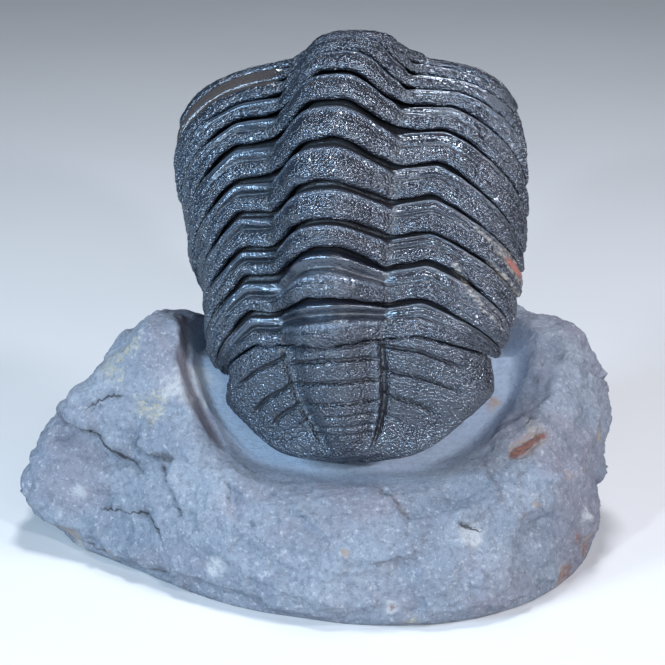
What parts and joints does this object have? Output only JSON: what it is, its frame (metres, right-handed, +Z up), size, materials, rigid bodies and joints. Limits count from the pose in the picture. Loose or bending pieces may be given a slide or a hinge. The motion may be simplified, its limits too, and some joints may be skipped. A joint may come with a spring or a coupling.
{
  "type": "morocops trilobite fossil",
  "caption": "Dark trilobite fossil, its hinged back arched up over a prepared hollow in a loose block of blue-grey limestone.",
  "frame": {"origin": "on the flat underside of the stone, near the middle of its footprint", "axes": "+Z up, the tail faces -Y, the head is on the +Y side of the arch, +X is the animal's right and runs along the stone's longest side"},
  "size_m": [0.0609, 0.0497, 0.051],
  "materials": {
    "limestone": "matt blue-grey limestone, rough and broken outside, scraped smooth around the fossil",
    "shell_tail": "near-black mineral shell, finely granular, with a sparkling gloss",
    "shell_thorax": "near-black mineral shell, finely granular, glossy, worn brown and tan at some plate ends",
    "shell_head": "near-black mineral shell with coarse tubercles and lensed eyes, brown-grey along the rear border"
  },
  "bodies": {
    "root": {"matrix": "limestone", "pygidium": "shell_tail", "thoracic_segment_01": "shell_thorax", "thoracic_segment_02": "shell_thorax", "thoracic_segment_03": "shell_thorax", "thoracic_segment_04": "shell_thorax", "thoracic_segment_05": "shell_thorax", "thoracic_segment_06": "shell_thorax", "thoracic_segment_07": "shell_thorax", "thoracic_segment_08": "shell_thorax", "thoracic_segment_09": "shell_thorax", "thoracic_segment_10": "shell_thorax", "thoracic_segment_11": "shell_thorax", "cephalon": "shell_head"}
  },
  "joints": []
}
